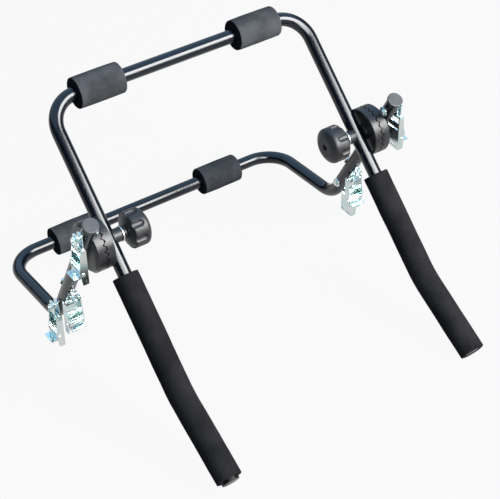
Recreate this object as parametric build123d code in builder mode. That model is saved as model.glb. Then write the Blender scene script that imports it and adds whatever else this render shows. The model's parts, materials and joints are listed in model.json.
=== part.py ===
from build123d import *
import math
import os

os.makedirs("parts", exist_ok=True)

# Tube stock and bends of both frames, millimetres and degrees
TUBE_D = 25.0
TUBE_WALL = 1.8
UPPER_BEND_R = 54.0
LOWER_BEND_R = 60.0
SEAT_GAP = 0.05

# Upper frame: one tube, padded bar, two legs past the hubs, two arms
UPPER_HALF = 259.0
LEG_REACH = 248.5
ARM_REACH = 284.5
ARM_BEND = 14.0
ARM_BEND_R = 150.0
ARM_TIP = {"right": 155.0, "left": 161.5}

# Lower frame: one tube, stub above the hub, limb, bend, foot, padded bar
HUB_SPAN = 50.0
LIMB_LEAN = 13.8
STUB_BEYOND_BOLT = 30.0
LIMB_REACH = 270.0
FOOT_TURN = 57.0
FOOT_REACH = 206.0

# Foam: bar pads, arm sleeves
PAD_D = 56.0
PAD_LENGTH = 87.0
UPPER_PAD_INSET = 1.0
LOWER_PAD_INSET = 38.0
SLEEVE_D = 46.0
SLEEVE_START = {"right": 80.0, "left": 67.0}
SLEEVE_TIP = 161.5
FOAM_GAP = 0.1
PAD_EDGE = 2.0

# Tube end caps
STUB_CAP_LIP = 1.8
STUB_CAP_HEAD = 4.0
ARM_CAP_LIP = 3.5
ARM_CAP_HEAD = 6.0
CAP_EDGE = 1.5
PLUG_DEPTH = 18.0
PLUG_GAP = 0.1

# Toothed hub halves
HUB_R = 45.0
INNER_HALF_T = 15.0
OUTER_HALF_T = 21.0
TEETH = 24
TOOTH_H = 4.6
TOOTH_INNER_R = 29.0
TOOTH_OVERRUN = 2.0
TOOTH_ROOT = 0.1
TOOTH_GAP = 2.8
RIDGE_FILL = 0.70
VALLEY_FILL = 0.9625
DISH_R = 42.0
DISH_DEPTH = 6.5
BOSS_R = 15.0
OUTER_CHAMFER = 5.0
INNER_CHAMFER = 0.8

# Hub bolt, bush, washer and knob
BOLT_D = 10.0
BOLT_GAP = 0.15
BOLT_HEAD_D = 18.0
BOLT_HEAD_H = 5.0
BUSH_D = 25.0
BUSH_L = 10.0
HUB_WASHER_D = 28.0
HUB_WASHER_T = 2.0
FACE_GAP = 0.1
KNOB_LENGTH = 47.0
KNOB_NECK_R = 12.0
KNOB_NECK_L = 6.0
KNOB_R = 33.0
KNOB_REAR = 14.0
KNOB_EDGE = 2.0
KNOB_DOME_L = 12.0
KNOB_CROWN_L = 4.0
KNOB_CROWN_R = 27.5
KNOB_FACE_R = 18.0
KNOB_FLUTES = 8
FLUTE_R = 8.0
FLUTE_DEPTH = 3.4
FLUTE_STOP = 20.0
KNOB_HOLE_R = 6.0
INSERT_ACROSS = 17.0
INSERT_L = 14.0
THREAD_RUN_OUT = 3.0
BOLT_SHORT = 12.0

# Cam buckles, in their own frame: x down the buckle, y across, z away from the tube
WEB_W = 25.0
WEB_GAP = 1.5
SHEET = 2.0
BUCKLE_BOLT_D = 6.0
BRACKET_W = 16.0
BRACKET_TOP = 10.0
BRACKET_LIFT = 0.4
FOLD_X = 18.0
FOLD_R = 5.0
HANGER_D = 5.6
PIN_D = 5.0
PIN_GAP = 0.06
FLANGE_GAP = 0.3
BUCKLE_END = 87.0
BASE_START = 30.0
WINDOW = 3.6
UPPER_WINDOW_X = 43.0
LOWER_WINDOW_X = 81.0
FLANGE_NOSE = 5.0
FLANGE_CREST = 6.0
FLANGE_CREST_X = 57.0
FLANGE_WAIST_X = 41.0
CAM_X = 65.0
CAM_Z = 9.5
CAM_R = 6.2
CAM_TOOTH = 0.9
CAM_TEETH_FROM = -150.0
CAM_TEETH = 5
CAM_TOOTH_STEP = 20.0
TAB_X = 5.5
TAB_BASE = 7.0
TAB_REACH = 16.0
TAB_T = 2.2
SPRING_WIRE = 0.8
SPRING_R = 3.3
SPRING_TURNS = 4
SPRING_PITCH = 1.8
RIVET_T = 1.0
RIVET_LIP = 1.0
BUCKLE_NUT_ACROSS = 10.0
BUCKLE_HEAD_T = 4.0
NUT_T = 5.0
THREAD_SHOWS = 2.0
WASHER_D = 18.0
WASHER_T = 1.4

# Where the buckles are bolted: two up the limb from the knee, the top one clear of the hub bolt
BACK_BUCKLE_UP = 118.0
FOOT_BUCKLE_UP = 58.0
HEAD_CLEARANCE = 2.1

# Worked-out radii and distances from the middle plane
TUBE_R = TUBE_D / 2
PAD_R = PAD_D / 2
SLEEVE_R = SLEEVE_D / 2
HANGER_Z = BRACKET_LIFT + FOLD_R
BUCKLE_INNER = WEB_W / 2 + WEB_GAP
BUCKLE_OUTER = BUCKLE_INNER + SHEET
ARM_CAP_D = TUBE_D + 2 * ARM_CAP_LIP
STUB_CAP_D = TUBE_D + 2 * STUB_CAP_LIP
LOWER_HALF = UPPER_HALF + HUB_SPAN
UPPER_PAD_X = UPPER_HALF - UPPER_BEND_R - UPPER_PAD_INSET - PAD_LENGTH / 2
LOWER_PAD_X = LOWER_HALF - LOWER_BEND_R - LOWER_PAD_INSET - PAD_LENGTH / 2
SEAM_X = UPPER_HALF + HUB_SPAN / 2
INNER_FACE_X = SEAM_X - INNER_HALF_T
OUTER_FACE_X = SEAM_X + OUTER_HALF_T
TOOTH_BASE_X = SEAM_X - TOOTH_H / 2
BUSH_END_X = UPPER_HALF - TUBE_R - BUSH_L
WASHER_X = BUSH_END_X - FACE_GAP
KNOB_BACK_X = WASHER_X - HUB_WASHER_T - FACE_GAP
KNOB_FRONT_X = KNOB_BACK_X - KNOB_LENGTH
BOLT_END_X = KNOB_FRONT_X + BOLT_SHORT

# Worked-out places in the side view, u along the legs and v square to them, from the hub
LEAN = math.radians(LIMB_LEAN)
FOOT = math.radians(LIMB_LEAN - FOOT_TURN)
BEND = math.radians(ARM_BEND)
KNEE_UV = (LIMB_REACH * math.sin(LEAN), LIMB_REACH * math.cos(LEAN))
BAR_UV = (KNEE_UV[0] + FOOT_REACH * math.sin(FOOT), KNEE_UV[1] + FOOT_REACH * math.cos(FOOT))


def arm_point(reach, across=0.0):
    """Side-view place on the arm past its bend, across towards the floor."""
    u = ARM_REACH + reach * math.cos(BEND) + across * math.sin(BEND)
    v = -reach * math.sin(BEND) + across * math.cos(BEND)
    return (u, v)


def floor_tilt():
    """Slope of the legs when sleeve ends and lower pads stand on one floor."""
    foot_u, foot_v = arm_point(SLEEVE_TIP, SLEEVE_R)
    du = foot_u - BAR_UV[0]
    dv = BAR_UV[1] - foot_v
    return math.atan2(dv, du) + math.asin(PAD_R / math.hypot(du, dv))


TILT = floor_tilt()
FLOOR_U, FLOOR_V = arm_point(SLEEVE_TIP, SLEEVE_R)
HUB_Z = FLOOR_U * math.sin(TILT) + FLOOR_V * math.cos(TILT)


def level_y(uv):
    """Y of a side-view place, measured from the hub axis."""
    return -uv[0] * math.cos(TILT) + uv[1] * math.sin(TILT)


FRONT_Y = min(level_y(arm_point(SLEEVE_TIP, -SLEEVE_R)),
              level_y(arm_point(max(ARM_TIP.values()) + ARM_CAP_HEAD, -ARM_CAP_D / 2 + CAP_EDGE)))
BACK_Y = level_y(BAR_UV) + PAD_R
HUB_Y = -(FRONT_Y + BACK_Y) / 2
SIDE = Plane(origin=(0, HUB_Y, HUB_Z), x_dir=(0, -math.cos(TILT), -math.sin(TILT)), z_dir=(1, 0, 0))


def rack_point(x, uv):
    """Point of the row frame at a distance x to the right and a side-view place."""
    return SIDE.from_local_coords(Vector(uv[0], uv[1], x))


def along(angle):
    """Side-view unit direction, turned from the legs' square towards the arms."""
    return (SIDE.x_dir * math.sin(angle) + SIDE.y_dir * math.cos(angle)).normalized()


LIMB_DIR = along(LEAN)
ARM_DIR = (SIDE.x_dir * math.cos(BEND) - SIDE.y_dir * math.sin(BEND)).normalized()
LEG_DIR = SIDE.x_dir
DOWN = Vector(0, 0, -1)
OUTWARD = Vector(1, 0, 0)
TOP_BUCKLE_UP = (BUCKLE_OUTER + BOLT_HEAD_D / 2 + HEAD_CLEARANCE) / abs(LIMB_DIR.Y)
STUB_REACH = TOP_BUCKLE_UP + STUB_BEYOND_BOLT
STUB_UV = (-STUB_REACH * math.sin(LEAN), -STUB_REACH * math.cos(LEAN))


def hub_plane(x, x_dir=LEG_DIR):
    """Plane square to the right hub axis, looking outward."""
    return Plane(origin=rack_point(x, (0, 0)), x_dir=x_dir, z_dir=OUTWARD)


def save(part, name):
    """Labels a finished piece and writes its file."""
    part.label = name
    export_step(part, f"parts/{name}.step")


def save_pair(right, name):
    """Writes a right piece and its mirror image for the left."""
    save(right, f"right_{name}")
    with BuildPart() as left:
        mirror(right, about=Plane.YZ)
    save(left.part, f"left_{name}")


def upper_tube_path():
    """Centre line of the upper frame tube, from the left arm's end to the right arm's end."""
    with BuildLine() as path:
        FilletPolyline(
            rack_point(-UPPER_HALF, arm_point(ARM_TIP["left"])),
            rack_point(-UPPER_HALF, (ARM_REACH, 0)),
            rack_point(-UPPER_HALF, (-LEG_REACH, 0)),
            rack_point(UPPER_HALF, (-LEG_REACH, 0)),
            rack_point(UPPER_HALF, (ARM_REACH, 0)),
            rack_point(UPPER_HALF, arm_point(ARM_TIP["right"])),
            radius=[ARM_BEND_R, UPPER_BEND_R, UPPER_BEND_R, ARM_BEND_R],
        )
    return path


def lower_tube_path():
    """Centre line of the lower frame tube, from the left stub to the right stub."""
    with BuildLine() as path:
        FilletPolyline(
            rack_point(-LOWER_HALF, STUB_UV),
            rack_point(-LOWER_HALF, KNEE_UV),
            rack_point(-LOWER_HALF, BAR_UV),
            rack_point(LOWER_HALF, BAR_UV),
            rack_point(LOWER_HALF, KNEE_UV),
            rack_point(LOWER_HALF, STUB_UV),
            radius=LOWER_BEND_R,
        )
    return path


def buckle_places():
    """Right-hand planes at each buckle's bolt: z away from the tube, x down the bracket."""
    def on_limb(reach):
        return rack_point(LOWER_HALF, (reach * math.sin(LEAN), reach * math.cos(LEAN)))

    top = on_limb(-TOP_BUCKLE_UP)
    middle = on_limb(LIMB_REACH - BACK_BUCKLE_UP)
    foot = on_limb(LIMB_REACH - FOOT_BUCKLE_UP)
    back = along(LEAN + math.pi / 2)
    return {
        "top": Plane(origin=top + OUTWARD * TUBE_R, x_dir=DOWN, z_dir=OUTWARD),
        "back": Plane(origin=middle + back * TUBE_R, x_dir=LIMB_DIR, z_dir=back),
        "foot": Plane(origin=foot + OUTWARD * TUBE_R, x_dir=DOWN, z_dir=OUTWARD),
    }


def hanging_place(bracket):
    """The buckle's own plane where it hangs straight down from its bracket's fold."""
    hanger = bracket.from_local_coords(Vector(FOLD_X, 0, HANGER_Z))
    z_dir = DOWN.cross(bracket.y_dir)
    return Plane(origin=hanger - DOWN * FOLD_X - z_dir * HANGER_Z, x_dir=DOWN, z_dir=z_dir)


BUCKLES = buckle_places()
HANGING = {name: hanging_place(place) for name, place in BUCKLES.items()}


def bent_tube(path):
    """Hollow round tube along a centre line."""
    with BuildPart() as tube:
        with BuildSketch(Plane(origin=path.line @ 0, z_dir=path.line % 0)):
            Circle(TUBE_R)
            Circle(TUBE_R - TUBE_WALL, mode=Mode.SUBTRACT)
        sweep(path=path.line)
    return tube.part


def upper_frame_tube():
    """The tube with the padded bar and the two arms, drilled for the hub bolts."""
    with BuildPart() as tube:
        add(bent_tube(upper_tube_path()))
        with BuildSketch(hub_plane(0)):
            Circle(BOLT_D / 2 + PIN_GAP)
        extrude(amount=UPPER_HALF + TUBE_D, both=True, mode=Mode.SUBTRACT)
    save(tube.part, "upper_frame_tube")


def buckle_drill(place):
    """Round bar through the tube at a buckle's bolt, to cut its hole."""
    with BuildPart() as drill:
        with BuildSketch(place.offset(TUBE_R)):
            Circle(BUCKLE_BOLT_D / 2 + BOLT_GAP)
        extrude(amount=-3 * TUBE_D)
    return drill.part


def lower_frame_tube():
    """The tube with the stubs, the knees and the lower bar, drilled for every bolt."""
    with BuildPart() as tube:
        add(bent_tube(lower_tube_path()))
        with BuildSketch(hub_plane(0)):
            Circle(BOLT_D / 2 + BOLT_GAP)
        extrude(amount=LOWER_HALF + TUBE_D, both=True, mode=Mode.SUBTRACT)
        for drill in [buckle_drill(place) for place in BUCKLES.values()]:
            add(drill, mode=Mode.SUBTRACT)
            mirror(drill, about=Plane.YZ, mode=Mode.SUBTRACT)
    save(tube.part, "lower_frame_tube")


def bar_pad(middle, height_uv):
    """Foam cylinder round a bar, bored to slide over it."""
    start = Plane(origin=rack_point(middle - PAD_LENGTH / 2, height_uv), z_dir=OUTWARD)
    with BuildPart() as pad:
        with BuildSketch(start):
            Circle(PAD_R)
        extrude(amount=PAD_LENGTH)
        fillet(pad.edges().filter_by(GeomType.CIRCLE), PAD_EDGE)
        with BuildSketch(start):
            Circle(TUBE_R + FOAM_GAP)
        extrude(amount=PAD_LENGTH, mode=Mode.SUBTRACT)
    return pad.part


def arm_sleeve(start, cap_end=None):
    """Long foam sleeve that follows the right arm round its bend, hollowed where it covers a cap."""
    with BuildLine() as path:
        FilletPolyline(
            rack_point(UPPER_HALF, (start, 0)),
            rack_point(UPPER_HALF, (ARM_REACH, 0)),
            rack_point(UPPER_HALF, arm_point(SLEEVE_TIP)),
            radius=ARM_BEND_R,
        )
    with BuildPart() as sleeve:
        with BuildSketch(Plane(origin=path.line @ 0, z_dir=path.line % 0)):
            Circle(SLEEVE_R)
            Circle(TUBE_R + FOAM_GAP, mode=Mode.SUBTRACT)
        sweep(path=path.line)
        if cap_end is not None:
            with BuildSketch(Plane(origin=rack_point(UPPER_HALF, arm_point(cap_end)), z_dir=ARM_DIR)):
                Circle(ARM_CAP_D / 2 + FOAM_GAP)
            extrude(amount=2 * ARM_CAP_HEAD, mode=Mode.SUBTRACT)
    return sleeve.part


def end_cap(end, direction, diameter, head):
    """Plastic cap: a plug inside the tube and a round head against its end."""
    face = Plane(origin=end, z_dir=direction)
    with BuildPart() as cap:
        with BuildSketch(face):
            Circle(diameter / 2)
        extrude(amount=head)
        fillet(cap.faces().sort_by(Axis(end, direction))[-1].edges(), CAP_EDGE)
        with BuildSketch(face):
            Circle(TUBE_R - TUBE_WALL - PLUG_GAP)
        extrude(amount=-PLUG_DEPTH)
    return cap.part


def arm_cap(side, sign):
    """Glossy cap in the end of one arm, at the end of that arm's own tube."""
    end = rack_point(sign * UPPER_HALF, arm_point(ARM_TIP[side]))
    save(end_cap(end, ARM_DIR, ARM_CAP_D, ARM_CAP_HEAD), f"{side}_arm_cap")


def tooth(fill, height, inner_radius):
    """One tapering radial tooth on the XY plane, pointing up, for a disc centred on the origin."""
    half_pitch = math.pi / TEETH
    with BuildPart() as wedge:
        for radius in (inner_radius, HUB_R + TOOTH_OVERRUN):
            half = radius * math.tan(half_pitch) * fill
            rise = height * radius / HUB_R
            root = -TOOTH_ROOT * rise
            with BuildSketch(Plane(origin=(radius, 0, 0), x_dir=(0, 1, 0), z_dir=(1, 0, 0))):
                with BuildLine():
                    Polyline((-half, 0), (0, rise), (half, 0), (half, root), (-half, root), close=True)
                make_face()
        loft(ruled=True)
    return wedge.part


def saddle(x, direction):
    """Round bar as wide as a tube and its seat gap, to cut a groove where the tube lies."""
    with BuildPart() as bar:
        with BuildSketch(Plane(origin=rack_point(x, (0, 0)), z_dir=direction)):
            Circle(TUBE_R + SEAT_GAP)
        extrude(amount=2 * HUB_R, both=True)
    return bar.part


def bolt_bore(radius, reach=2 * HUB_R):
    """Round bar on the right hub axis, to cut a bore."""
    with BuildPart() as bar:
        with BuildSketch(hub_plane(SEAM_X)):
            Circle(radius)
        extrude(amount=reach, both=True)
    return bar.part


def inner_ratchet():
    """Toothed half that stays with the upper frame: dished face, rim, grooved for the leg."""
    ridge = tooth(RIDGE_FILL, TOOTH_H, TOOTH_INNER_R)
    with BuildPart() as teeth:
        with PolarLocations(0, TEETH):
            add(ridge)
        with BuildSketch():
            Circle(HUB_R)
        extrude(amount=2 * TOOTH_H, both=True, mode=Mode.INTERSECT)
    with BuildPart() as half:
        with BuildSketch(hub_plane(INNER_FACE_X)):
            Circle(HUB_R)
        extrude(amount=TOOTH_BASE_X - INNER_FACE_X)
        chamfer(half.faces().sort_by(Axis.X)[0].edges(), INNER_CHAMFER)
        with BuildSketch(hub_plane(INNER_FACE_X)):
            Circle(DISH_R)
            Circle(BOSS_R, mode=Mode.SUBTRACT)
        extrude(amount=DISH_DEPTH, mode=Mode.SUBTRACT)
        with Locations(hub_plane(TOOTH_BASE_X).location):
            add(teeth.part)
        add(saddle(UPPER_HALF, LEG_DIR), mode=Mode.SUBTRACT)
        add(bolt_bore(BOLT_D / 2 + PIN_GAP), mode=Mode.SUBTRACT)
    save_pair(half.part, "inner_ratchet")


def outer_ratchet():
    """Toothed half that turns with the lower frame: deep, faceted, grooved for the limb."""
    valley = tooth(VALLEY_FILL, TOOTH_H + TOOTH_GAP, TOOTH_INNER_R - TOOTH_GAP)
    with BuildPart() as half:
        with BuildSketch(hub_plane(TOOTH_BASE_X + TOOTH_GAP)):
            Circle(HUB_R)
        extrude(amount=OUTER_FACE_X - TOOTH_BASE_X - TOOTH_GAP)
        chamfer(half.faces().sort_by(Axis.X)[-1].edges(), OUTER_CHAMFER)
        with Locations(hub_plane(TOOTH_BASE_X).location):
            with PolarLocations(0, TEETH):
                add(valley, mode=Mode.SUBTRACT)
        add(saddle(LOWER_HALF, LIMB_DIR), mode=Mode.SUBTRACT)
        add(bolt_bore(BOLT_D / 2 + BOLT_GAP), mode=Mode.SUBTRACT)
    save_pair(half.part, "outer_ratchet")


def hub_bush():
    """Short spacer, hollowed on one end to sit against the leg."""
    with BuildPart() as bush:
        with BuildSketch(hub_plane(BUSH_END_X)):
            Circle(BUSH_D / 2)
        extrude(amount=UPPER_HALF - BUSH_END_X - TUBE_R / 2)
        chamfer(bush.faces().sort_by(Axis.X)[0].edges(), INNER_CHAMFER)
        add(saddle(UPPER_HALF, LEG_DIR), mode=Mode.SUBTRACT)
        add(bolt_bore(BOLT_D / 2 + PIN_GAP), mode=Mode.SUBTRACT)
    save_pair(bush.part, "hub_bush")


def hub_washer():
    """Flat washer between the bush and the knob."""
    with BuildPart() as washer:
        with BuildSketch(hub_plane(WASHER_X - HUB_WASHER_T)):
            Circle(HUB_WASHER_D / 2)
            Circle(BOLT_D / 2 + PIN_GAP, mode=Mode.SUBTRACT)
        extrude(amount=HUB_WASHER_T)
        chamfer(washer.edges().filter_by(GeomType.CIRCLE).group_by(SortBy.RADIUS)[-1], HUB_WASHER_T / 5)
    save_pair(washer.part, "hub_washer")


def hub_bolt():
    """Round-headed bolt through both tubes, its thread ending inside the knob."""
    head_x = LOWER_HALF + TUBE_R + SEAT_GAP
    with BuildPart() as bolt:
        with BuildSketch(hub_plane(BOLT_END_X)):
            Circle(BOLT_D / 2)
        extrude(amount=head_x - BOLT_END_X)
        chamfer(bolt.faces().sort_by(Axis.X)[0].edges(), BOLT_D / 10)
        with BuildSketch(hub_plane(head_x)):
            Circle(BOLT_HEAD_D / 2)
        extrude(amount=BOLT_HEAD_H)
        fillet(bolt.faces().sort_by(Axis.X)[-1].edges(), BOLT_HEAD_H * 0.7)
    save_pair(bolt.part, "hub_bolt")


def knob_insert():
    """Threaded hexagon moulded into the knob; the thread is left as a plain running bore."""
    with BuildPart() as insert:
        with BuildSketch(hub_plane(KNOB_BACK_X - KNOB_NECK_L)):
            RegularPolygon(INSERT_ACROSS / 2, 6, major_radius=False)
            Circle(BOLT_D / 2 + PIN_GAP, mode=Mode.SUBTRACT)
        extrude(amount=-INSERT_L)
    save_pair(insert.part, "knob_insert")


def hand_knob():
    """Knob: neck, cone, grip with flutes open to the back, domed face with a round hole."""
    flare_x = KNOB_BACK_X - KNOB_NECK_L
    rear_x = KNOB_BACK_X - KNOB_REAR
    shoulder = (rear_x + KNOB_EDGE, KNOB_R - KNOB_EDGE)
    dome_x = KNOB_FRONT_X + KNOB_DOME_L
    crown = (KNOB_FRONT_X + KNOB_CROWN_L, KNOB_CROWN_R)
    profile = Plane(origin=rack_point(0, (0, 0)), x_dir=OUTWARD, z_dir=OUTWARD.cross(LEG_DIR))
    with BuildPart() as knob:
        with BuildSketch(profile):
            with BuildLine():
                middle = Line((KNOB_FRONT_X, 0), (KNOB_BACK_X, 0))
                neck = Polyline(middle @ 1, (KNOB_BACK_X, KNOB_NECK_R), (flare_x, KNOB_NECK_R))
                back = Line(neck @ 1, shoulder)
                edge = Spline(back @ 1, (rear_x - KNOB_EDGE, KNOB_R), tangents=((-0.35, 1), (-1, 0)))
                barrel = Line(edge @ 1, (dome_x, KNOB_R))
                face_edge = (KNOB_FRONT_X, KNOB_FACE_R)
                dome = Spline(barrel @ 1, crown, face_edge, tangents=((-1, 0), (-0.15, -1)))
                Line(dome @ 1, (KNOB_FRONT_X, 0))
            make_face()
        revolve(axis=Axis(rack_point(0, (0, 0)), OUTWARD))
        with BuildSketch(hub_plane(KNOB_FRONT_X + FLUTE_STOP)):
            with PolarLocations(KNOB_R + FLUTE_R - FLUTE_DEPTH, KNOB_FLUTES):
                Circle(FLUTE_R)
        extrude(amount=KNOB_LENGTH, mode=Mode.SUBTRACT)
        with Locations(hub_plane(KNOB_FRONT_X + FLUTE_STOP).location):
            with PolarLocations(KNOB_R + FLUTE_R - FLUTE_DEPTH, KNOB_FLUTES):
                Sphere(FLUTE_R, mode=Mode.SUBTRACT)
        with BuildSketch(hub_plane(KNOB_FRONT_X)):
            Circle(KNOB_HOLE_R)
        extrude(amount=BOLT_SHORT, mode=Mode.SUBTRACT)
        with BuildSketch(hub_plane(BOLT_END_X - THREAD_RUN_OUT)):
            Circle(BOLT_D / 2 + BOLT_GAP)
        extrude(amount=KNOB_LENGTH, mode=Mode.SUBTRACT)
        with BuildSketch(hub_plane(flare_x)):
            RegularPolygon(INSERT_ACROSS / 2, 6, major_radius=False)
        extrude(amount=-INSERT_L, mode=Mode.SUBTRACT)
    save_pair(knob.part, "hand_knob")


def buckle_bracket():
    """Strip folded into a U round the hanger pin, drilled twice for the bolt."""
    low_z = HANGER_Z - FOLD_R
    high_z = HANGER_Z + FOLD_R
    with BuildPart() as bracket:
        with BuildSketch(Plane.XZ.offset(-BRACKET_W / 2)):
            with BuildLine():
                low = Line((-BRACKET_TOP, low_z), (FOLD_X, low_z))
                bend = RadiusArc(low @ 1, (FOLD_X, high_z), -FOLD_R)
                top = Line(bend @ 1, (-BRACKET_TOP, high_z))
                edge = Line(top @ 1, (-BRACKET_TOP, high_z - SHEET))
                back = Line(edge @ 1, (FOLD_X, high_z - SHEET))
                fold = RadiusArc(back @ 1, (FOLD_X, low_z + SHEET), FOLD_R - SHEET)
                under = Line(fold @ 1, (-BRACKET_TOP, low_z + SHEET))
                Line(under @ 1, low @ 0)
            make_face()
        extrude(amount=BRACKET_W)
        with BuildSketch(Plane.XY):
            Circle(BUCKLE_BOLT_D / 2 + PIN_GAP)
        extrude(amount=2 * high_z, mode=Mode.SUBTRACT)
        fillet(bracket.edges().filter_by(Axis.Z).group_by(Axis.X)[0], BRACKET_W / 3)
    return bracket.part


def flange_outline():
    """Side view of a buckle flange: round the hanger pin, then deeper to the lower end."""
    return [
        (FOLD_X - FLANGE_NOSE, HANGER_Z + FLANGE_NOSE / 2),
        (FOLD_X, HANGER_Z + FLANGE_NOSE),
        (FLANGE_WAIST_X, CAM_Z + FLANGE_CREST / 2),
        (FLANGE_CREST_X, CAM_Z + FLANGE_CREST),
        (BUCKLE_END, CAM_Z + FLANGE_CREST / 3),
        (BUCKLE_END, BRACKET_LIFT),
        (FOLD_X, BRACKET_LIFT),
        (FOLD_X - FLANGE_NOSE, HANGER_Z - FLANGE_NOSE / 2),
    ]


def buckle_frame():
    """Channel pressed from sheet: base plate with strap windows and two side flanges."""
    with BuildPart() as frame:
        for side in (BUCKLE_OUTER, -BUCKLE_INNER):
            with BuildSketch(Plane.XZ.offset(-side)):
                with BuildLine():
                    Polyline(*flange_outline(), close=True)
                make_face()
            extrude(amount=SHEET)
        with BuildSketch(Plane.XY.offset(BRACKET_LIFT)):
            with Locations(((BASE_START + BUCKLE_END) / 2, 0)):
                Rectangle(BUCKLE_END - BASE_START, 2 * BUCKLE_INNER)
            with Locations((UPPER_WINDOW_X, 0), (LOWER_WINDOW_X, 0)):
                Rectangle(WINDOW, WEB_W, mode=Mode.SUBTRACT)
        extrude(amount=SHEET)
        with BuildSketch(Plane.XZ):
            with Locations((FOLD_X, HANGER_Z)):
                Circle(HANGER_D / 2 + PIN_GAP)
            with Locations((CAM_X, CAM_Z)):
                Circle(PIN_D / 2 + PIN_GAP)
        extrude(amount=WEB_W, both=True, mode=Mode.SUBTRACT)
    return frame.part


def cam_lever():
    """Toothed cam on its pin with a thumb tab standing out of the buckle."""
    half_width = BUCKLE_INNER - FLANGE_GAP
    barrel_r = CAM_R - CAM_TOOTH
    with BuildPart() as lever:
        with BuildSketch(Plane.XZ.offset(-half_width)):
            with Locations((CAM_X, CAM_Z)):
                Circle(barrel_r)
                with PolarLocations(barrel_r, CAM_TEETH, CAM_TEETH_FROM, CAM_TEETH * CAM_TOOTH_STEP):
                    RegularPolygon(CAM_TOOTH, 3)
            with BuildLine():
                Polyline(
                    (CAM_X, CAM_Z + barrel_r),
                    (CAM_X + TAB_X, CAM_Z + TAB_BASE),
                    (CAM_X + TAB_X, CAM_Z + TAB_REACH),
                    (CAM_X + TAB_X + TAB_T, CAM_Z + TAB_REACH),
                    (CAM_X + TAB_X + TAB_T, CAM_Z + TAB_BASE / 2),
                    (CAM_X + barrel_r, CAM_Z),
                    (CAM_X, CAM_Z),
                    close=True,
                )
            make_face()
        extrude(amount=2 * half_width)
        with BuildSketch(Plane.XZ):
            with Locations((CAM_X, CAM_Z)):
                Circle(PIN_D / 2 + PIN_GAP)
        extrude(amount=WEB_W, both=True, mode=Mode.SUBTRACT)
        with BuildSketch(Plane.XZ):
            with Locations((CAM_X, CAM_Z)):
                Circle(SPRING_R + SPRING_WIRE)
        extrude(amount=SPRING_PITCH * (SPRING_TURNS + 1) / 2, both=True, mode=Mode.SUBTRACT)
    return lever.part


def buckle_pins():
    """Hanger pin and cam pin, riveted over outside the flanges."""
    with BuildPart() as pins:
        for place, diameter in (((FOLD_X, HANGER_Z), HANGER_D), ((CAM_X, CAM_Z), PIN_D)):
            with BuildSketch(Plane.XZ):
                with Locations(place):
                    Circle(diameter / 2)
            extrude(amount=BUCKLE_OUTER, both=True)
            for edge in (Plane.XZ.offset(BUCKLE_OUTER), Plane.XZ.offset(-BUCKLE_OUTER - RIVET_T)):
                with BuildSketch(edge):
                    with Locations(place):
                        Circle(diameter / 2 + RIVET_LIP)
                extrude(amount=RIVET_T)
    return pins.part


def spring_place(turn):
    """Place on the spring's centre line after some turns, and its direction there."""
    angle = 2 * math.pi * turn
    place = Vector(SPRING_R * math.cos(angle), SPRING_R * math.sin(angle), SPRING_PITCH * turn)
    rise = SPRING_PITCH / (2 * math.pi)
    direction = Vector(-SPRING_R * math.sin(angle), SPRING_R * math.cos(angle), rise)
    return place, direction.normalized()


def arc_joint(start, leaving, end, arriving):
    """Where two arcs meet that join two places smoothly, and the direction there."""
    chord = end - start
    both = leaving + arriving
    spread = 2 * (1 - leaving.dot(arriving))
    reach = (math.sqrt(chord.dot(both) ** 2 + spread * chord.dot(chord)) - chord.dot(both)) / spread
    before = start + leaving * reach
    after = end - arriving * reach
    return (before + after) / 2, after - before


def least_turn_gap(wire):
    """Least gap between a place on the wire and the place one turn on, measured at many places."""
    one_turn = 20
    steps = one_turn * SPRING_TURNS
    places = [wire @ (step / steps) for step in range(steps + 1)]
    spans = [(later - earlier).length for earlier, later in zip(places, places[one_turn:])]
    return min(spans) - SPRING_WIRE


def cam_spring():
    """Torsion spring's turns round the cam pin, one unbroken wire."""
    with BuildLine() as coil:
        for step in range(2 * SPRING_TURNS):
            start, leaving = spring_place(step / 2)
            end, arriving = spring_place((step + 1) / 2)
            middle, heading = arc_joint(start, leaving, end, arriving)
            TangentArc(start, middle, tangent=leaving)
            TangentArc(middle, end, tangent=heading)
    with BuildPart() as spring:
        with BuildSketch(Plane(origin=coil.line @ 0, z_dir=coil.line % 0)):
            Circle(SPRING_WIRE / 2)
        sweep(path=coil.line)
    print("spring gap between turns", round(least_turn_gap(coil.line), 2))
    turned = Plane(origin=(CAM_X, SPRING_PITCH * SPRING_TURNS / 2, CAM_Z), x_dir=(1, 0, 0), z_dir=(0, -1, 0))
    with BuildPart() as placed:
        with Locations(turned.location):
            add(spring.part)
    return placed.part


def placed_pair(master, place, name):
    """Puts a buckle piece, made in the buckle's own frame, at its place on both sides."""
    with BuildPart() as piece:
        with Locations(place.location):
            add(master)
    save_pair(piece.part, name)


def cam_buckles():
    """Three cam buckles a side, each of five pieces."""
    bracket = buckle_bracket()
    hanging_pieces = {
        "frame": buckle_frame(),
        "cam_lever": cam_lever(),
        "pins": buckle_pins(),
        "cam_spring": cam_spring(),
    }
    for name in BUCKLES:
        placed_pair(bracket, BUCKLES[name], f"{name}_buckle_bracket")
        for piece, master in hanging_pieces.items():
            placed_pair(master, HANGING[name], f"{name}_buckle_{piece}")


def on_every_bracket(master, name):
    """One node of separate, identical fasteners, one at each buckle bolt of both sides."""
    copies = []
    for place in BUCKLES.values():
        with BuildPart() as right:
            with Locations(place.location):
                add(master)
        copies.append(right.part.solid())
        copies.append(right.part.solid().mirror(Plane.YZ))
    save(Compound(children=copies), name)


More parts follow.
